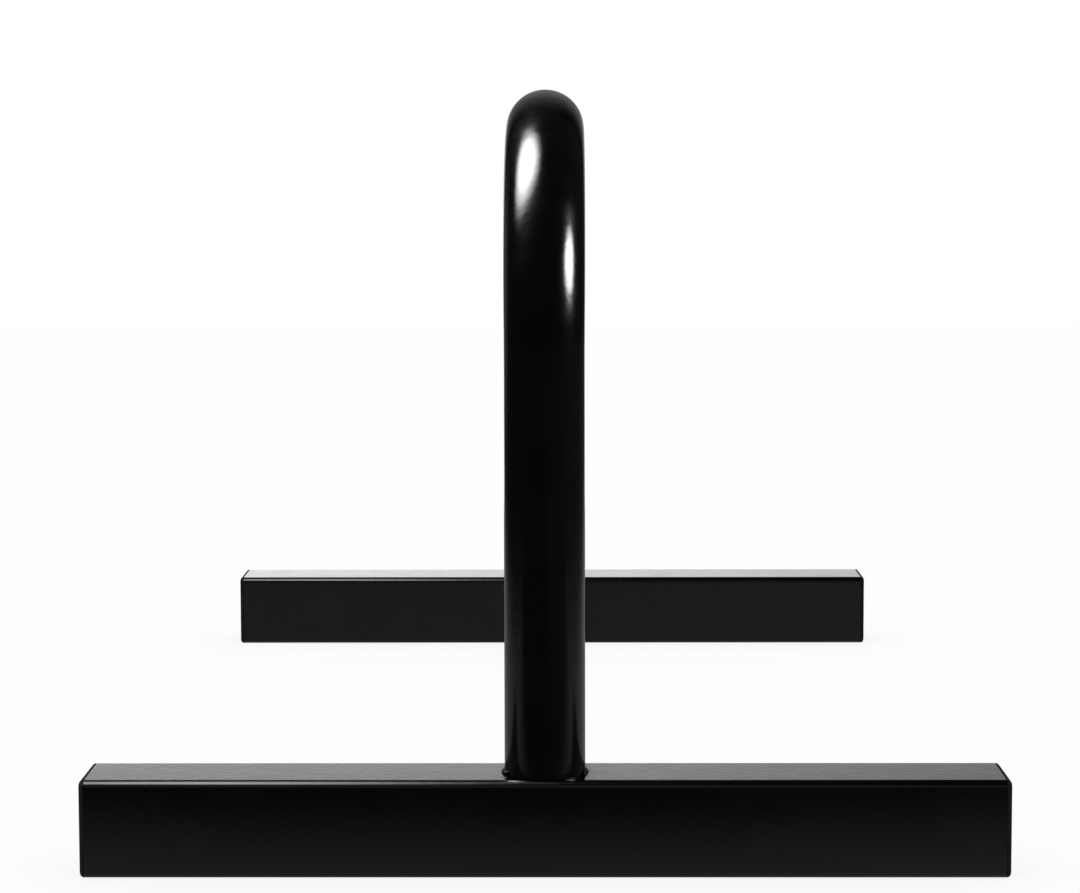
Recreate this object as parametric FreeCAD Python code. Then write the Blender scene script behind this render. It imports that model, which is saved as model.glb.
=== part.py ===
import FreeCAD, Part
import math
import os

Vector = FreeCAD.Vector

# Bar: one round steel tube bent to an upside-down U, with the grip on top and a leg at each end
bar_diameter = 33.0
bar_wall = 2.0
bar_top_height = 319.5      # floor to the top of the grip
bend_radius = 90.0          # of the tube's centre line

# Feet: square steel tubes that lie across the bar, one under each leg
foot_spacing = 600.0        # between the centre lines of the two feet
foot_side = 40.0
foot_wall = 1.5
foot_corner_radius = 3.0    # outside of the tube's four edges
foot_tube_length = 373.0    # cut length, without the caps
vent_diameter = 10.0        # under each leg, so that the bar's bore isn't sealed when the coat is baked

# Caps: moulded plugs with a rounded head as wide as the foot and a hollow shank with fins
cap_head_thickness = 2.0
cap_edge_radius = 1.8       # round the head's outer face
cap_shank_depth = 18.0
cap_shank_wall = 2.0
cap_shank_bevel = 2.0       # on the shank's four corners
cap_fin_count = 4
cap_fin_root = 2.0          # plain shank between the head and the first fin
cap_fin_reach = 2.4         # from the shank to a fin's tip
cap_fin_thickness = 0.9
cap_fin_clearance = 0.1     # between a fin's tip and the foot's bore

# Welds: a short bead at the left and the right of each leg, where the foot's flat has room
weld_bead_radius = 1.3      # of the bead's section, about the corner that it fills
weld_bead_length = 12.0     # round the leg, between the lumps at its ends
weld_end_radius = 1.6       # lump where the bead starts and where it stops

overrun = 1.0               # how far a solid runs past where it is cut

bar_radius = bar_diameter / 2
foot_bore = foot_side - 2 * foot_wall
front_y = -foot_spacing / 2
rear_y = foot_spacing / 2
diagonal_share = math.sqrt(0.5)     # of a radius, to each side at 45 degrees
even_bevel_share = 2 - math.sqrt(2)  # of an offset, by which a bevel grows if the wall is to stay even


def section_point(turn, out, along, centre):
    # Point of a square section across the X axis: out from its centre, and along one of four sides
    c = round(math.cos(turn * math.pi / 2))
    s = round(math.sin(turn * math.pi / 2))
    return centre + Vector(0, out * c - along * s, out * s + along * c)


def rounded_section(side, radius, centre):
    # Square section with round corners, or sharp ones where the radius leaves none
    half = side / 2
    flat = half - max(radius, 0)
    bow = flat + max(radius, 0) * diagonal_share
    edges = []
    for turn in range(4):
        start = section_point(turn, half, -flat, centre)
        end = section_point(turn, half, flat, centre)
        edges.append(Part.LineSegment(start, end).toShape())
        if radius > 0:
            middle = section_point(turn, bow, bow, centre)
            after = section_point(turn, flat, half, centre)
            edges.append(Part.Arc(end, middle, after).toShape())
    return Part.Wire(edges)


def bevelled_prism(side, bevel, depth, centre):
    # Square block with bevelled corners, from centre back along the X axis
    half = side / 2
    flat = half - max(bevel, 0)
    points = []
    for turn in range(4):
        points.append(section_point(turn, half, -flat, centre))
        if bevel > 0:
            points.append(section_point(turn, half, flat, centre))
    face = Part.Face(Part.makePolygon(points + points[:1]))
    return face.extrude(Vector(-depth, 0, 0))


def foot_prism(y):
    # Outside of a foot's tube as a full solid
    start = Vector(-foot_tube_length / 2, y, foot_side / 2)
    section = rounded_section(foot_side, foot_corner_radius, start)
    return Part.Face(section).extrude(Vector(foot_tube_length, 0, 0))


def make_bar():
    # Centre line: leg, bend, grip, bend, leg
    axis_z = bar_top_height - bar_radius
    bend_z = axis_z - bend_radius
    grip_end = foot_spacing / 2 - bend_radius
    bow = bend_radius * diagonal_share
    front_base = Vector(0, front_y, foot_side)
    front_bend = Vector(0, front_y, bend_z)
    front_middle = Vector(0, -grip_end - bow, bend_z + bow)
    front_grip = Vector(0, -grip_end, axis_z)
    rear_grip = Vector(0, grip_end, axis_z)
    rear_middle = Vector(0, grip_end + bow, bend_z + bow)
    rear_bend = Vector(0, rear_y, bend_z)
    rear_base = Vector(0, rear_y, foot_side)
    path = Part.Wire([
        Part.LineSegment(front_base, front_bend).toShape(),
        Part.Arc(front_bend, front_middle, front_grip).toShape(),
        Part.LineSegment(front_grip, rear_grip).toShape(),
        Part.Arc(rear_grip, rear_middle, rear_bend).toShape(),
        Part.LineSegment(rear_bend, rear_base).toShape(),
    ])
    outside = Part.Wire(Part.makeCircle(bar_radius, front_base, Vector(0, 0, 1)))
    bore = Part.Wire(Part.makeCircle(bar_radius - bar_wall, front_base, Vector(0, 0, 1)))
    full = path.makePipeShell([outside], True, False)
    return full.cut(path.makePipeShell([bore], True, False))


def make_foot(y):
    # Square tube cut square at both ends, with the vent in its upper wall
    start = Vector(-foot_tube_length / 2 - overrun, y, foot_side / 2)
    section = rounded_section(foot_bore, foot_corner_radius - foot_wall, start)
    bore = Part.Face(section).extrude(Vector(foot_tube_length + 2 * overrun, 0, 0))
    vent_base = Vector(0, y, foot_side - foot_wall - overrun)
    vent = Part.makeCylinder(vent_diameter / 2, foot_wall + 2 * overrun, vent_base)
    return foot_prism(y).cut(bore).cut(vent)


def make_cap_head(seat):
    # Plate on the tube's cut end, as wide as the tube, with its outer edges rounded on four sides
    section = rounded_section(foot_side, foot_corner_radius, seat)
    head = Part.Face(section).extrude(Vector(cap_head_thickness, 0, 0))
    half = foot_side / 2
    inner = -overrun
    outer = cap_head_thickness
    flat = half - cap_edge_radius
    start = outer - cap_edge_radius
    bow = cap_edge_radius * diagonal_share
    profile = Part.Wire([
        Part.LineSegment(Vector(inner, -half, -half), Vector(start, -half, -half)).toShape(),
        Part.Arc(
            Vector(start, -half, -half), Vector(start + bow, -flat - bow, -half), Vector(outer, -flat, -half)
        ).toShape(),
        Part.LineSegment(Vector(outer, -flat, -half), Vector(outer, flat, -half)).toShape(),
        Part.Arc(
            Vector(outer, flat, -half), Vector(start + bow, flat + bow, -half), Vector(start, half, -half)
        ).toShape(),
        Part.LineSegment(Vector(start, half, -half), Vector(inner, half, -half)).toShape(),
        Part.LineSegment(Vector(inner, half, -half), Vector(inner, -half, -half)).toShape(),
    ])
    for turn in range(2):
        rounding = Part.Face(profile).extrude(Vector(0, 0, foot_side))
        rounding.rotate(Vector(0, 0, 0), Vector(1, 0, 0), turn * 90)
        rounding.translate(seat)
        head = head.common(rounding)
    return head


def make_cap_shank(seat):
    # Hollow box with a row of thin fins that grip the foot's bore
    tip_side = foot_bore - 2 * cap_fin_clearance
    tip_bevel = cap_shank_bevel + cap_fin_reach * even_bevel_share
    shank_side = tip_side - 2 * cap_fin_reach
    shank = bevelled_prism(shank_side, cap_shank_bevel, cap_shank_depth, seat)
    fin_pitch = (cap_shank_depth - cap_fin_root) / cap_fin_count
    for fin in range(cap_fin_count):
        back = seat - Vector(cap_fin_root + fin * fin_pitch, 0, 0)
        shank = shank.fuse(bevelled_prism(tip_side, tip_bevel, cap_fin_thickness, back))
    pocket_side = shank_side - 2 * cap_shank_wall
    pocket_bevel = cap_shank_bevel - cap_shank_wall * even_bevel_share
    return shank.cut(bevelled_prism(pocket_side, pocket_bevel, cap_shank_depth + overrun, seat))


def make_right_cap(y):
    seat = Vector(foot_tube_length / 2, y, foot_side / 2)
    return make_cap_head(seat).fuse(make_cap_shank(seat))


def make_left_cap(y):
    # The same plug turned half round for the other end of the foot
    cap = make_right_cap(y)
    cap.rotate(Vector(0, y, 0), Vector(0, 0, 1), 180)
    return cap


def make_weld(y):
    # Two round beads bent about the leg, with a lump at each end, cut back to the corner of leg and foot
    base = Vector(0, y, foot_side)
    corner = base + Vector(bar_radius, 0, 0)
    upright = Vector(0, 0, 1)
    spread = math.degrees(weld_bead_length / bar_radius)
    section = Part.Wire(Part.makeCircle(weld_bead_radius, corner, Vector(0, 1, 0)))
    leg = Part.makeCylinder(bar_radius, foot_side + 2 * weld_end_radius, Vector(0, y, 0))
    beads = []
    for middle in (0, 180):
        bead = Part.Face(section).revolve(base, upright, spread)
        for turn in (0, spread):
            end = Part.makeSphere(weld_end_radius, corner)
            end.rotate(base, upright, turn)
            bead = bead.fuse(end)
        bead.rotate(base, upright, middle - spread / 2)
        beads += bead.cut(leg).cut(foot_prism(y)).Solids
    return Part.makeCompound(beads)


nodes = {
    "handle_bar": make_bar(),
    "front_foot": make_foot(front_y),
    "rear_foot": make_foot(rear_y),
    "front_left_cap": make_left_cap(front_y),
    "front_right_cap": make_right_cap(front_y),
    "rear_left_cap": make_left_cap(rear_y),
    "rear_right_cap": make_right_cap(rear_y),
    "front_weld": make_weld(front_y),
    "rear_weld": make_weld(rear_y),
}

os.makedirs("parts", exist_ok=True)
for name, shape in nodes.items():
    solids = shape.Solids
    piece = solids[0] if len(solids) == 1 else Part.makeCompound(solids)
    piece.exportStep("parts/" + name + ".step")
    print(name, len(solids), piece.isValid(), round(piece.Volume, 1))
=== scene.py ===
import math

import bmesh
import bpy
from mathutils import Matrix, Quaternion, Vector


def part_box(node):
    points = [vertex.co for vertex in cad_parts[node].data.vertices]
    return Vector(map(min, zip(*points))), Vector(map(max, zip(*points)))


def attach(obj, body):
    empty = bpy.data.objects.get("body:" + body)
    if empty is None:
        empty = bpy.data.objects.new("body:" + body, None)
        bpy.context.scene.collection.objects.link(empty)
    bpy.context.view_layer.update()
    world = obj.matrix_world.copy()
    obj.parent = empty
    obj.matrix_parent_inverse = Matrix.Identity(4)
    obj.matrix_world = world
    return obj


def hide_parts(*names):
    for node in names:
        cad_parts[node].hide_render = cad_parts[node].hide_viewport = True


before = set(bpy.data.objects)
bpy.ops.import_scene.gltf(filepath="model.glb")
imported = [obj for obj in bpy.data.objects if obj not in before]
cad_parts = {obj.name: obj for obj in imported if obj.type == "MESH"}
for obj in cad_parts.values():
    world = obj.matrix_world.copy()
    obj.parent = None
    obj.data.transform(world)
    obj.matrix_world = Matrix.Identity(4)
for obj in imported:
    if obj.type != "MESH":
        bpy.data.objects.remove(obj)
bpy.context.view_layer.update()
print("frame loaded:", len(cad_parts), "nodes")

frontLow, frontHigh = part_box("front_foot")
rearLow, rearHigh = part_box("rear_foot")
frontY = (frontLow.y + frontHigh.y) / 2
rearY = (rearLow.y + rearHigh.y) / 2
footTop = frontHigh.z
footSide = frontHigh.z - frontLow.z
mergeGap = 1e-6
sharpAngle = math.radians(40)
noiseLow, noiseHigh = 0.3, 0.7  # most of a noise texture lies between these


# nodes and links, shared by all materials

def addNode(tree, kind, **settings):
    node = tree.nodes.new(kind)
    for key, value in settings.items():
        setattr(node, key, value)
    return node


def freshMaterial(name):
    material = bpy.data.materials.new(name)
    material.use_nodes = True
    material.node_tree.nodes.clear()
    return material, material.node_tree


def addOutput(tree, kind, surface):
    out = addNode(tree, kind)
    tree.links.new(surface, out.inputs["Surface"])


def addNoise(tree, place, scale, detail, roughness=0.5):
    noise = addNode(tree, "ShaderNodeTexNoise")
    noise.inputs["Scale"].default_value = scale
    noise.inputs["Detail"].default_value = detail
    noise.inputs["Roughness"].default_value = roughness
    tree.links.new(place, noise.inputs["Vector"])
    return noise.outputs["Fac"]


def addRange(tree, value, low, high, fromLow=noiseLow, fromHigh=noiseHigh, blend="LINEAR"):
    spread = addNode(tree, "ShaderNodeMapRange", interpolation_type=blend)
    spread.inputs["From Min"].default_value = fromLow
    spread.inputs["From Max"].default_value = fromHigh
    spread.inputs["To Min"].default_value = low
    spread.inputs["To Max"].default_value = high
    tree.links.new(value, spread.inputs["Value"])
    return spread.outputs["Result"]


def addRamp(tree, value, stops):
    ramp = addNode(tree, "ShaderNodeValToRGB")
    marks = ramp.color_ramp.elements
    for mark, (position, colour) in zip(marks, stops):
        mark.position = position
        mark.color = (*colour, 1)
    for position, colour in stops[len(marks):]:
        marks.new(position).color = (*colour, 1)
    tree.links.new(value, ramp.inputs["Fac"])
    return ramp.outputs["Color"]


def addBump(tree, height, depth, under=None):
    bump = addNode(tree, "ShaderNodeBump")
    bump.inputs["Distance"].default_value = depth
    tree.links.new(height, bump.inputs["Height"])
    if under:
        tree.links.new(under, bump.inputs["Normal"])
    return bump.outputs["Normal"]


# gloss black powder coat on the tubes and the welds

coatFinish = {
    "dark": (0.0004, 0.0004, 0.001),
    "light": (0.0009, 0.0009, 0.0019),
    "toneScale": 40.0,
    "toneDetail": 5.0,
    "refraction": 1.45,
    "smooth": 0.13,         # roughness where the coat has flowed out
    "hazy": 0.19,           # and where it is a little duller
    "hazeScale": 95.0,
    "hazeDetail": 6.0,
    "hazeRoughness": 0.6,
    "peelScale": 330.0,     # orange peel, about 3 mm from crest to crest
    "peelDetail": 1.5,
    "peelDepth": 0.00004,
    "waveScale": 22.0,      # slow waves of the metal under the coat
    "waveDetail": 1.0,
    "waveDepth": 0.0001,
}

# thinner and duller on the weld beads
beadFinish = dict(coatFinish, refraction=1.18, smooth=0.28, hazy=0.4)


def makeCoat(name, finish):
    material, tree = freshMaterial(name)
    place = addNode(tree, "ShaderNodeTexCoord").outputs["Object"]
    shader = addNode(tree, "ShaderNodeBsdfPrincipled")
    shader.inputs["IOR"].default_value = finish["refraction"]
    tone = addNoise(tree, place, finish["toneScale"], finish["toneDetail"])
    haze = addNoise(tree, place, finish["hazeScale"], finish["hazeDetail"], finish["hazeRoughness"])
    peel = addNoise(tree, place, finish["peelScale"], finish["peelDetail"])
    wave = addNoise(tree, place, finish["waveScale"], finish["waveDetail"])
    slow = addBump(tree, wave, finish["waveDepth"])
    fine = addBump(tree, peel, finish["peelDepth"], slow)
    shades = addRamp(tree, tone, [(noiseLow, finish["dark"]), (noiseHigh, finish["light"])])
    gloss = addRange(tree, haze, finish["smooth"], finish["hazy"])
    tree.links.new(shades, shader.inputs["Base Color"])
    tree.links.new(gloss, shader.inputs["Roughness"])
    tree.links.new(fine, shader.inputs["Normal"])
    addOutput(tree, "ShaderNodeOutputMaterial", shader.outputs["BSDF"])
    return material


# matte moulded plastic of the end caps

plasticFinish = {
    "dark": (0.0035, 0.0035, 0.0037),
    "light": (0.0065, 0.0065, 0.0068),
    "toneScale": 120.0,
    "toneDetail": 4.0,
    "refraction": 1.3,
    "smooth": 0.7,
    "dull": 0.85,
    "grainScale": 1600.0,   # spark-eroded mould, about 0.6 mm a grain
    "grainDetail": 2.0,
    "grainDepth": 0.00003,
}


def makePlastic(name, finish):
    material, tree = freshMaterial(name)
    place = addNode(tree, "ShaderNodeTexCoord").outputs["Object"]
    shader = addNode(tree, "ShaderNodeBsdfPrincipled")
    shader.inputs["IOR"].default_value = finish["refraction"]
    tone = addNoise(tree, place, finish["toneScale"], finish["toneDetail"])
    grain = addNoise(tree, place, finish["grainScale"], finish["grainDetail"])
    bumps = addBump(tree, grain, finish["grainDepth"])
    shades = addRamp(tree, tone, [(noiseLow, finish["dark"]), (noiseHigh, finish["light"])])
    gloss = addRange(tree, tone, finish["smooth"], finish["dull"])
    tree.links.new(shades, shader.inputs["Base Color"])
    tree.links.new(gloss, shader.inputs["Roughness"])
    tree.links.new(bumps, shader.inputs["Normal"])
    addOutput(tree, "ShaderNodeOutputMaterial", shader.outputs["BSDF"])
    return material


coat = makeCoat("glossBlackCoat", coatFinish)
beadCoat = makeCoat("dullBlackCoat", beadFinish)
plastic = makePlastic("grainedPlastic", plasticFinish)
print("finishes mixed")


# steps that several pieces share

def roundEdges(bm, edges, radius, steps):
    bmesh.ops.bevel(
        bm, geom=edges, offset=radius, offset_type="OFFSET", affect="EDGES",
        segments=steps, profile=0.5, material=-1,
    )


def boxMatrix(low, high):
    size = high - low
    return Matrix.Translation((low + high) / 2) @ Matrix.Diagonal((*size, 1))


def finishPiece(bm, name, node, material):
    bmesh.ops.remove_doubles(bm, verts=bm.verts, dist=mergeGap)
    mesh = bpy.data.meshes.new(name)
    bm.to_mesh(mesh)
    bm.free()
    mesh.shade_smooth()
    mesh.set_sharp_from_angle(angle=sharpAngle)
    mesh.materials.append(material)
    piece = bpy.data.objects.new(name, mesh)
    bpy.context.scene.collection.objects.link(piece)
    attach(piece, "root")
    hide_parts(node)
    print(name, "made:", len(mesh.polygons), "faces")
    return piece


# bent bar: leg, bend, grip, bend, leg

barShape = {
    "diameter": 0.033,
    "wall": 0.002,
    "topHeight": 0.3195,
    "bendRadius": 0.09,     # of the tube's centre line
    "bendSpread": 0.018,    # share by which a bend is wider than the straight tube
    "roundSteps": 112,
    "bendSteps": 56,
    "legSteps": 10,
    "gripSteps": 24,
}


def stretchRing(bm, ring, run, steps):
    for step in range(steps):
        grown = bmesh.ops.extrude_edge_only(bm, edges=ring)["geom"]
        verts = [g for g in grown if isinstance(g, bmesh.types.BMVert)]
        ring = [g for g in grown if isinstance(g, bmesh.types.BMEdge)]
        ring = [e for e in ring if e.verts[0] in verts and e.verts[1] in verts]
        bmesh.ops.translate(bm, verts=verts, vec=run / steps)
    return ring


def bendRing(bm, ring, centre, steps):
    turn = bmesh.ops.spin(
        bm, geom=ring, cent=centre, axis=(1, 0, 0), angle=-math.pi / 2, steps=steps, use_duplicate=False,
    )
    return [g for g in turn["geom_last"] if isinstance(g, bmesh.types.BMEdge)]


def makeBar():
    radius = barShape["diameter"] / 2
    axisZ = barShape["topHeight"] - radius
    bendZ = axisZ - barShape["bendRadius"]
    gripEnd = rearY - barShape["bendRadius"]
    bm = bmesh.new()
    base = Matrix.Translation((0, frontY, footTop))
    bmesh.ops.create_circle(bm, segments=barShape["roundSteps"], radius=radius, matrix=base)
    leg = Vector((0, 0, bendZ - footTop))
    ring = stretchRing(bm, bm.edges[:], leg, barShape["legSteps"])
    ring = bendRing(bm, ring, (0, -gripEnd, bendZ), barShape["bendSteps"])
    ring = stretchRing(bm, ring, Vector((0, 2 * gripEnd, 0)), barShape["gripSteps"])
    ring = bendRing(bm, ring, (0, gripEnd, bendZ), barShape["bendSteps"])
    stretchRing(bm, ring, -leg, barShape["legSteps"])
    bmesh.ops.remove_doubles(bm, verts=bm.verts, dist=mergeGap)

    # a bent tube goes a little oval, most at the middle of the bend
    for vert in bm.verts:
        out = abs(vert.co.y) - gripEnd
        up = vert.co.z - bendZ
        if out > 0 and up > 0:
            vert.co.x *= 1 + barShape["bendSpread"] * math.sin(2 * math.atan2(up, out))

    bmesh.ops.recalc_face_normals(bm, faces=bm.faces)
    bmesh.ops.solidify(bm, geom=bm.faces[:], thickness=barShape["wall"])
    return finishPiece(bm, "bentBar", "handle_bar", coat)


bar = makeBar()


# feet: square tubes, open at both ends for the caps

footShape = {
    "wall": 0.0015,
    "cornerRadius": 0.003,
    "cornerSteps": 12,
    "flatCount": 4,
    "flatMargin": 0.0006,   # keeps the flats flat beside the round corners
    "endRound": 0.0004,     # where the coat has run round the saw cut
    "endSteps": 3,
}


def liesAcross(face):
    return abs(face.normal.x) > 0.5  # across the foot, as a saw cut does


def makeFoot(name, node):
    low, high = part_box(node)
    middle = (low + high) / 2
    bm = bmesh.new()
    bmesh.ops.create_cube(bm, size=1, matrix=boxMatrix(low, high))
    ends = [f for f in bm.faces if liesAcross(f)]
    bmesh.ops.delete(bm, geom=ends, context="FACES_ONLY")
    corners = [e for e in bm.edges if len(e.link_faces) == 2]
    roundEdges(bm, corners, footShape["cornerRadius"], footShape["cornerSteps"])
    flats = sorted(bm.faces, key=lambda f: f.calc_area())[-footShape["flatCount"]:]
    bmesh.ops.inset_individual(bm, faces=flats, thickness=footShape["flatMargin"], use_even_offset=True)
    bmesh.ops.recalc_face_normals(bm, faces=bm.faces)
    bmesh.ops.solidify(bm, geom=bm.faces[:], thickness=footShape["wall"])

    # the outer rim at each saw cut: one face across the cut, one that looks away from the middle
    rims = []
    for edge in bm.edges:
        cuts = [f for f in edge.link_faces if liesAcross(f)]
        walls = [f for f in edge.link_faces if not liesAcross(f)]
        out = (edge.verts[0].co + edge.verts[1].co) / 2 - middle
        if cuts and walls and walls[0].normal.dot(out) > 0:
            rims.append(edge)
    roundEdges(bm, rims, footShape["endRound"], footShape["endSteps"])
    return finishPiece(bm, name, node, coat)


feet = [makeFoot("frontFoot", "front_foot"), makeFoot("rearFoot", "rear_foot")]


# caps: a crowned head with round edges, and a hollow shank with four fins in the tube

capShape = {
    "headThickness": 0.002,
    "cornerRadius": 0.003,
    "cornerSteps": 12,
    "edgeRadius": 0.0017,
    "edgeSteps": 7,
    "crown": 0.0002,        # part of the head's thickness
    "crownSteps": 5,
    "shankDepth": 0.018,
    "shankWall": 0.002,
    "finCount": 4,
    "finRoot": 0.002,       # plain shank between the head and the first fin
    "finReach": 0.0024,
    "finThickness": 0.0009,
    "finClearance": 0.0001,
}


def pushFace(bm, face, along, spread):
    withEdges = [face] + face.edges[:]  # a face pushed without its edges leaves a copy inside
    grown = bmesh.ops.extrude_face_region(bm, geom=withEdges)["geom"]
    face = [g for g in grown if isinstance(g, bmesh.types.BMFace)][0]
    bmesh.ops.translate(bm, verts=face.verts, vec=(along, 0, 0))
    bmesh.ops.scale(bm, verts=face.verts, vec=(1, spread, spread))
    return face


def endFace(bm, sign):
    # the farthest face along X, to a micrometre, and the largest of those that are equally far
    return max(bm.faces, key=lambda f: (round(sign * f.calc_center_median().x, 6), f.calc_area()))


def makeCap(name, node):
    low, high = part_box(node)
    plate = capShape["headThickness"] - capShape["crown"]
    half = footSide / 2
    bm = bmesh.new()
    head = boxMatrix(Vector((0, -half, -half)), Vector((plate, half, half)))
    bmesh.ops.create_cube(bm, size=1, matrix=head)
    corners = [e for e in bm.edges if abs(e.verts[0].co.x - e.verts[1].co.x) > plate / 2]
    roundEdges(bm, corners, capShape["cornerRadius"], capShape["cornerSteps"])
    roundEdges(bm, endFace(bm, 1).edges[:], capShape["edgeRadius"], capShape["edgeSteps"])

    # the outer face swells a little, in rings that shrink towards the middle
    face = endFace(bm, 1)
    reach = 1.0
    rise = 0.0
    for step in range(1, capShape["crownSteps"] + 1):
        newReach = 1 - step / (capShape["crownSteps"] + 1)
        newRise = capShape["crown"] * (1 - newReach ** 2)
        face = pushFace(bm, face, newRise - rise, newReach / reach)
        reach, rise = newReach, newRise

    # the shank and its fins grow from the inner face
    finHalf = half - footShape["wall"] - capShape["finClearance"]
    shankHalf = finHalf - capShape["finReach"]
    finPitch = (capShape["shankDepth"] - capShape["finRoot"]) / capShape["finCount"]
    face = pushFace(bm, endFace(bm, -1), 0, shankHalf / half)
    face = pushFace(bm, face, -capShape["finRoot"], 1)
    for fin in range(capShape["finCount"]):
        face = pushFace(bm, face, 0, finHalf / shankHalf)
        face = pushFace(bm, face, -capShape["finThickness"], 1)
        face = pushFace(bm, face, 0, shankHalf / finHalf)
        face = pushFace(bm, face, capShape["finThickness"] - finPitch, 1)
    face = pushFace(bm, face, 0, 1 - capShape["shankWall"] / shankHalf)
    pushFace(bm, face, capShape["shankDepth"], 1)

    # made at the origin for a right end, then turned for a left one and moved to its seat
    side = 1 if low.x > 0 else -1
    outer = high.x if side > 0 else low.x
    seat = Vector((outer - side * capShape["headThickness"], (low.y + high.y) / 2, footSide / 2))
    if side < 0:
        bmesh.ops.rotate(bm, verts=bm.verts, cent=(0, 0, 0), matrix=Matrix.Rotation(math.pi, 3, "Z"))
    bmesh.ops.translate(bm, verts=bm.verts, vec=seat)
    bmesh.ops.recalc_face_normals(bm, faces=bm.faces)
    return finishPiece(bm, name, node, plastic)


caps = [
    makeCap("frontLeftCap", "front_left_cap"),
    makeCap("frontRightCap", "front_right_cap"),
    makeCap("rearLeftCap", "rear_left_cap"),
    makeCap("rearRightCap", "rear_right_cap"),
]


# welds: a short rippled bead at the left and the right of each leg, with a lump at both ends

weldShape = {
    "size": 0.0013,         # from the corner to the bead's skin
    "lump": 0.0016,
    "length": 0.012,        # round the leg, between the lumps
    "arcSteps": 10,
    "runSteps": 160,
    "ripplePitch": 0.0011,
    "rippleShare": 0.06,    # of the bead's size
    "rippleBow": 0.35,      # how far a ripple runs ahead in the middle of the bead
    "tipRoom": 2e-8,        # square metres, under which a lump has come to its point
}


def beadSize(along, across):
    fromLump = abs(along) - weldShape["length"] / 2
    room = weldShape["lump"] ** 2 - fromLump ** 2
    lump = math.sqrt(room) if room > weldShape["tipRoom"] else 0.0
    run = weldShape["size"] if fromLump <= 0 else 0.0
    phase = along / weldShape["ripplePitch"] - weldShape["rippleBow"] * math.sin(math.pi * across)
    ripple = 1 + weldShape["rippleShare"] * (abs(math.sin(math.pi * phase)) - 0.5)
    return max(run, lump) * ripple


def makeWeld(name, node, y):
    radius = barShape["diameter"] / 2
    reach = weldShape["length"] / 2 + weldShape["lump"]
    spread = 2 * reach / radius
    axis = Vector((0, y, footTop))
    bm = bmesh.new()

    # section: a quarter circle about the corner of leg and foot
    corner = bm.verts.new(axis + Vector((radius, 0, 0)))
    toe = bm.verts.new(axis + Vector((radius + weldShape["size"], 0, 0)))
    arc = bmesh.ops.spin(
        bm, geom=[toe], cent=corner.co, axis=(0, -1, 0), angle=math.pi / 2, steps=weldShape["arcSteps"],
        use_duplicate=False,
    )
    crest = [g for g in arc["geom_last"] if isinstance(g, bmesh.types.BMVert)][0]
    bm.edges.new((crest, corner))
    bm.edges.new((corner, toe))
    bmesh.ops.rotate(bm, verts=bm.verts, cent=axis, matrix=Matrix.Rotation(-spread / 2, 3, "Z"))
    bmesh.ops.spin(
        bm, geom=bm.verts[:] + bm.edges[:], cent=axis, axis=(0, 0, 1), angle=spread,
        steps=weldShape["runSteps"], use_duplicate=False,
    )

    # ripples and lumps, down to nothing at both ends
    for vert in bm.verts:
        spot = vert.co - axis
        angle = math.atan2(spot.y, spot.x)
        around = Vector((math.cos(angle), math.sin(angle), 0))
        out = spot.dot(around) - radius
        across = math.atan2(spot.z, out) / (math.pi / 2)
        growth = beadSize(angle * radius, across) / weldShape["size"]
        vert.co = axis + around * (radius + out * growth) + Vector((0, 0, spot.z * growth))
    bmesh.ops.remove_doubles(bm, verts=bm.verts, dist=mergeGap)

    # the other side of the leg gets the same bead, turned half round
    twin = bmesh.ops.duplicate(bm, geom=bm.verts[:] + bm.edges[:] + bm.faces[:])["geom"]
    twinVerts = [g for g in twin if isinstance(g, bmesh.types.BMVert)]
    bmesh.ops.rotate(bm, verts=twinVerts, cent=axis, matrix=Matrix.Rotation(math.pi, 3, "Z"))
    bmesh.ops.recalc_face_normals(bm, faces=bm.faces)
    return finishPiece(bm, name, node, beadCoat)


welds = [makeWeld("frontWeld", "front_weld", frontY), makeWeld("rearWeld", "rear_weld", rearY)]


# studio: white floor and world for the camera, and dimmer ones for the gloss to mirror

def addMath(tree, operation, *values):
    step = addNode(tree, "ShaderNodeMath", operation=operation)
    for value, socket in zip(values, step.inputs):
        tree.links.new(value, socket)
    return step.outputs["Value"]


def mixShaders(tree, share, first, second):
    mix = addNode(tree, "ShaderNodeMixShader")
    for value, socket in zip((share, first, second), mix.inputs):
        tree.links.new(value, socket)
    return mix.outputs["Shader"]


def seenShare(tree):
    path = addNode(tree, "ShaderNodeLightPath")
    return addMath(tree, "MAXIMUM", path.outputs["Is Camera Ray"], path.outputs["Is Transmission Ray"])


def mirroredShare(tree):
    return addNode(tree, "ShaderNodeLightPath").outputs["Is Glossy Ray"]


def placeAxes(tree):
    axes = addNode(tree, "ShaderNodeSeparateXYZ")
    tree.links.new(addNode(tree, "ShaderNodeTexCoord").outputs["Object"], axes.inputs["Vector"])
    return axes.outputs


def stageObject(name, bm, material):
    mesh = bpy.data.meshes.new(name)
    bm.to_mesh(mesh)
    bm.free()
    mesh.materials.append(material)
    piece = bpy.data.objects.new(name, mesh)
    bpy.context.scene.collection.objects.link(piece)
    return piece


# white floor that keeps the shadow, and in the gloss shows a painted pool of light

floorShape = {
    "half": 4.0,
    "drop": 0.0002,
    "shade": (0.95, 0.95, 0.95),
    "glow": 0.85,               # share of the floor's white that takes no shadow
    # painted light: in the gloss the floor glows brightest between the feet and fades in front of the
    # near foot and beyond the feet's ends
    "mirrorBright": 0.29,       # mirrored, it is bright between the feet
    "frontNear": -0.32,         # it fades in front of the near foot
    "frontFar": -0.46,
    "frontBow": 0.5,            # sooner in the middle than at the sides
    "sideNear": 0.45,           # and it fades beyond the ends of the feet
    "sideFar": 0.9,
    # painted light that is lighter towards the right
    "dimLeft": 0.03,            # added everywhere, this much left of the middle
    "dimRight": 0.06,           # rising to this much
    "dimReach": 0.25,           # so far to the right
}


# painted pool of light for the gloss to mirror
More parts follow.
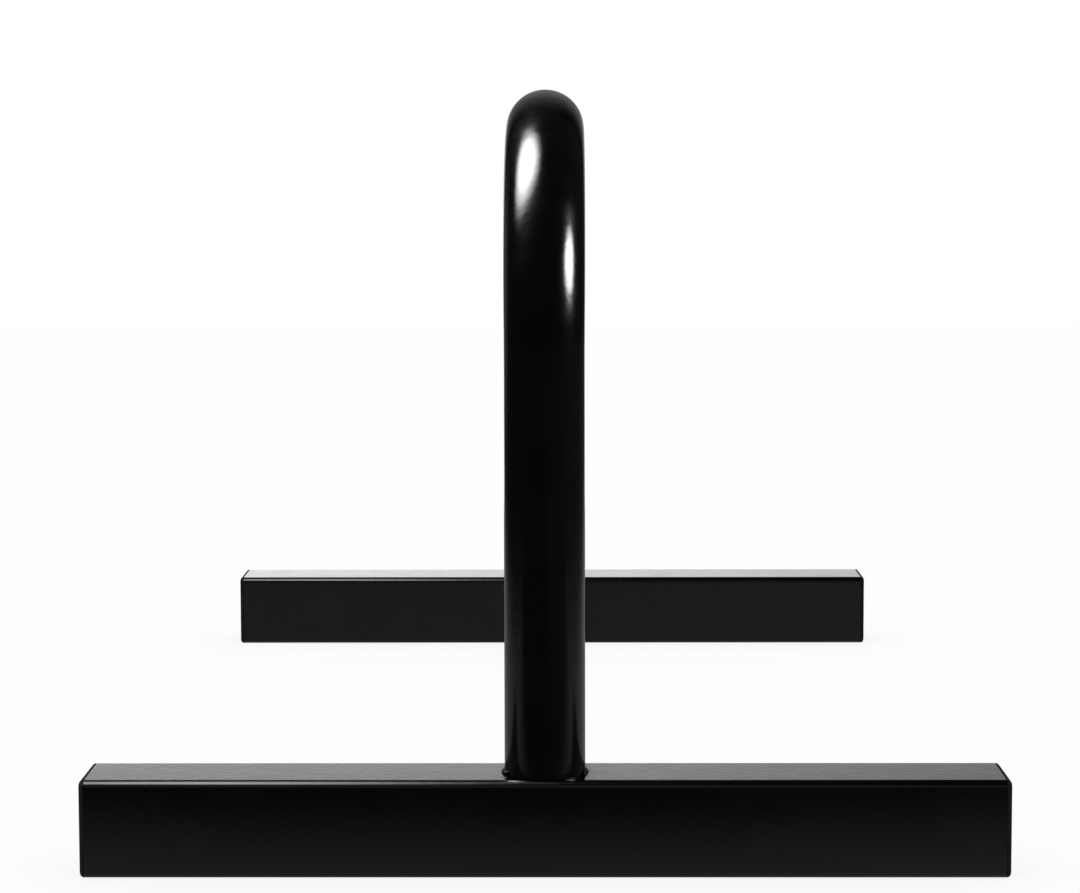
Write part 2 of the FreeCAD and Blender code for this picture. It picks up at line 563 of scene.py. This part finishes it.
def paintedMirroredLight(tree):
    axes = placeAxes(tree)
    across = axes["X"]
    bow = addRange(tree, addMath(tree, "MULTIPLY", across, across), 0, floorShape["frontBow"], 0, 1)
    ahead = addMath(tree, "ADD", axes["Y"], bow)
    front = addRange(tree, ahead, 0, 1, floorShape["frontFar"], floorShape["frontNear"])
    aside = addMath(tree, "ABSOLUTE", across)
    sides = addRange(tree, aside, 1, 0, floorShape["sideNear"], floorShape["sideFar"])
    share = addMath(tree, "MULTIPLY", front, sides)
    bright = addRange(tree, share, 0, floorShape["mirrorBright"], 0, 1)
    dim = addRange(tree, across, floorShape["dimLeft"], floorShape["dimRight"], 0, floorShape["dimReach"])
    return addMath(tree, "ADD", bright, dim)


def makeFloor():
    material, tree = freshMaterial("whiteFloor")
    paper = addNode(tree, "ShaderNodeBsdfDiffuse")
    paper.inputs["Color"].default_value = (*floorShape["shade"], 1)
    glow = addNode(tree, "ShaderNodeEmission")
    glowShare = addRange(tree, seenShare(tree), 0, floorShape["glow"], 0, 1)
    lit = mixShaders(tree, glowShare, paper.outputs["BSDF"], glow.outputs["Emission"])
    mirrored = addNode(tree, "ShaderNodeEmission")
    tree.links.new(paintedMirroredLight(tree), mirrored.inputs["Strength"])
    both = mixShaders(tree, mirroredShare(tree), lit, mirrored.outputs["Emission"])
    addOutput(tree, "ShaderNodeOutputMaterial", both)

    bm = bmesh.new()
    down = Matrix.Translation((0, 0, -floorShape["drop"]))
    bmesh.ops.create_grid(bm, x_segments=1, y_segments=1, size=floorShape["half"], matrix=down)
    stageObject("studioFloor", bm, material)


# backdrop that only the gloss mirrors, a glowing sheet with painted light: a bright low part, lighter at
# the left, and a dim high part

backdrop = {
    "behind": 1.0,
    "half": 0.7,
    "height": 1.6,
    "edgeNear": 0.42,       # from here outwards it fades
    "edgeFar": 0.62,
    "lowLevels": [(0.0, 1.4), (0.14, 1.56), (0.2, 1.15), (0.3, 0.7), (0.42, 0.0)],
    "lowReach": 0.5,        # the low part is brighter at the left than at the right
    "lowLeft": 1.37,
    "lowRight": 0.63,
    "highLevels": [(0.2, 0.0), (0.42, 0.25), (0.8, 0.25), (1.1, 0.14), (1.5, 0.05)],
    "highNear": 0.1,        # the high part is brightest in the middle
    "highFar": 0.5,
    "highSide": 0.2,
}


def addHeightLevel(tree, rise, levels):
    stops = [(height / backdrop["height"], (level, level, level)) for height, level in levels]
    return addRamp(tree, rise, stops)


def makeBackdrop():
    material, tree = freshMaterial("softBackdrop")
    axes = placeAxes(tree)
    aside = addMath(tree, "ABSOLUTE", axes["X"])
    rise = addRange(tree, axes["Z"], 0, 1, 0, backdrop["height"])
    gain = addRange(
        tree, axes["X"], backdrop["lowLeft"], backdrop["lowRight"],
        -backdrop["lowReach"], backdrop["lowReach"],
    )
    spot = addRange(tree, aside, 1, backdrop["highSide"], backdrop["highNear"], backdrop["highFar"])
    lowPart = addMath(tree, "MULTIPLY", addHeightLevel(tree, rise, backdrop["lowLevels"]), gain)
    highPart = addMath(tree, "MULTIPLY", addHeightLevel(tree, rise, backdrop["highLevels"]), spot)
    both = addMath(tree, "ADD", lowPart, highPart)
    edge = addRange(tree, aside, 1, 0, backdrop["edgeNear"], backdrop["edgeFar"], "SMOOTHSTEP")
    # painted light: the sheet glows at these levels, though it is no lamp
    glow = addNode(tree, "ShaderNodeEmission")
    tree.links.new(addMath(tree, "MULTIPLY", both, edge), glow.inputs["Strength"])
    addOutput(tree, "ShaderNodeOutputMaterial", glow.outputs["Emission"])

    bm = bmesh.new()
    leftEnd = bm.verts.new((-backdrop["half"], backdrop["behind"], 0))
    rightEnd = bm.verts.new((backdrop["half"], backdrop["behind"], 0))
    bm.edges.new((leftEnd, rightEnd))
    stretchRing(bm, bm.edges[:], Vector((0, 0, backdrop["height"])), 1)
    sheet = stageObject("mirroredBackdrop", bm, material)
    sheet.visible_camera = False
    sheet.visible_diffuse = False
    sheet.visible_shadow = False


# world: how bright it is as a light, to the camera and in the gloss

worldLevels = {
    "fill": 1.0,
    "seen": 1.0,
    "mirrored": 0.028,
}


def addGround(tree, level):
    ground = addNode(tree, "ShaderNodeBackground")
    ground.inputs["Color"].default_value = (1, 1, 1, 1)
    ground.inputs["Strength"].default_value = level
    return ground.outputs["Background"]


def makeWorld():
    world = bpy.data.worlds.new("studioWorld")
    bpy.context.scene.world = world
    world.use_nodes = True
    tree = world.node_tree
    tree.nodes.clear()
    fill = addGround(tree, worldLevels["fill"])
    seen = addGround(tree, worldLevels["seen"])
    mirrored = addGround(tree, worldLevels["mirrored"])
    lit = mixShaders(tree, seenShare(tree), fill, seen)
    both = mixShaders(tree, mirroredShare(tree), lit, mirrored)
    addOutput(tree, "ShaderNodeOutputWorld", both)


# lamps and panels for the highlights, some for the bar and some for the feet

leftLamp = {
    "place": (-0.81, -0.039, 1.513),
    "target": (0, -0.29, 0.275),    # the near bend, where this lamp and the next one show
    "width": 1.34,
    "height": 1.76,
    "soft": 1.0,                    # share of the way from rim to middle over which it fades
    "turn": -4.9,
    "bright": 40.0,
}
rightLamp = {
    "place": (1.38, -0.516, 0.815),
    "target": (0, -0.29, 0.275),
    "width": 1.0,
    "height": 0.7,
    "soft": 0.6,
    "turn": -7.2,
    "bright": 36.0,
}
backPanel = {
    "place": (-1.31, 1.21, 0.3),    # far left, for the bar's left rim
    "target": (0, -0.3, 0.25),
    "width": 1.46,
    "height": 1.2,
    "soft": 1.0,
    "turn": 0,
    "bright": 0.17,
}
topLamp = {
    "place": (-0.6, -0.6, 1.5),     # over the left, for the upper edges of the feet
    "target": (-0.6, -0.6, 0),
    "width": 1.3,
    "height": 2.4,
    "soft": 1.0,
    "turn": 0,
    "bright": 10.5,
}
leftPanel = {
    "place": (-1.6, 0, 0.85),       # high enough that the legs, low down, mirror dark feet
    "target": (0, 0, 0.85),
    "width": 5.0,
    "height": 1.1,
    "soft": 0.7,
    "turn": 0,
    "bright": 0.85,
}
rightPanel = dict(leftPanel, place=(1.6, 0, 0.85))
frontPanel = {
    "place": (0, -1.6, 0.7),        # for the tops of the feet as they look from behind
    "target": (0, 0, 0.7),
    "width": 5.0,
    "height": 2.0,
    "soft": 1.0,
    "turn": 0,
    "bright": 0.25,
}
lampRim = 0.5   # from a lamp's middle to its rim, in the lamp's own coordinates


def litGroup(name, pieces):
    group = bpy.data.collections.new(name)
    for piece in pieces:
        group.objects.link(piece)
    return group


def makeLamp(name, shape, group):
    lamp = bpy.data.lights.new(name, "AREA")
    lamp.shape = "ELLIPSE"
    lamp.size = shape["width"]
    lamp.size_y = shape["height"]
    area = math.pi / 4 * shape["width"] * shape["height"]
    lamp.energy = shape["bright"] * math.pi * area

    # bright in the middle and nothing at the rim, as a soft box is
    lamp.use_nodes = True
    tree = lamp.node_tree
    tree.nodes.clear()
    away = addNode(tree, "ShaderNodeVectorMath", operation="DISTANCE")
    tree.links.new(addNode(tree, "ShaderNodeNewGeometry").outputs["Parametric"], away.inputs[0])
    away.inputs[1].default_value = (lampRim, lampRim, 0)
    fadeStart = lampRim * (1 - shape["soft"])
    fade = addRange(tree, away.outputs["Value"], 1, 0, fadeStart, lampRim, "SMOOTHSTEP")
    glow = addNode(tree, "ShaderNodeEmission")
    tree.links.new(fade, glow.inputs["Strength"])
    addOutput(tree, "ShaderNodeOutputLight", glow.outputs["Emission"])

    holder = bpy.data.objects.new(name, lamp)
    bpy.context.scene.collection.objects.link(holder)
    holder.location = shape["place"]
    facing = (Vector(shape["target"]) - holder.location).to_track_quat("-Z", "Y")
    holder.rotation_euler = (facing @ Quaternion((0, 0, 1), math.radians(shape["turn"]))).to_euler()
    holder.visible_camera = False
    holder.visible_diffuse = False      # highlights only: the world lights the colours
    holder.light_linking.receiver_collection = group


makeFloor()
makeBackdrop()
makeWorld()
barLit = litGroup("litBySideLamps", [bar] + welds)
makeLamp("leftLamp", leftLamp, barLit)
makeLamp("rightLamp", rightLamp, barLit)
makeLamp("backPanel", backPanel, barLit)
feetLit = litGroup("litByTopLamp", feet + caps)
makeLamp("topLamp", topLamp, feetLit)
makeLamp("leftPanel", leftPanel, feetLit)
makeLamp("rightPanel", rightPanel, feetLit)
makeLamp("frontPanel", frontPanel, feetLit)
print("studio lit")


# camera: end on, a little above the bar's feet, through a long lens

view = {
    "place": (0.00906, -1.50043, 0.28541),
    "pitch": 5.324,
    "yaw": 0.505,
    "roll": 0.121,
    "lens": 99.214,
    "sensor": 36.0,
    "nearClip": 0.01,
}


def makeCamera():
    data = bpy.data.cameras.new("photoCamera")
    data.sensor_fit = "HORIZONTAL"
    data.sensor_width = view["sensor"]
    data.lens = view["lens"]
    data.clip_start = view["nearClip"]
    camera = bpy.data.objects.new("photoCamera", data)
    bpy.context.scene.collection.objects.link(camera)
    camera.location = view["place"]
    camera.rotation_euler = (
        math.radians(90 - view["pitch"]), math.radians(view["roll"]), math.radians(view["yaw"]),
    )
    bpy.context.scene.camera = camera


makeCamera()
bpy.context.scene.view_settings.view_transform = "Standard"
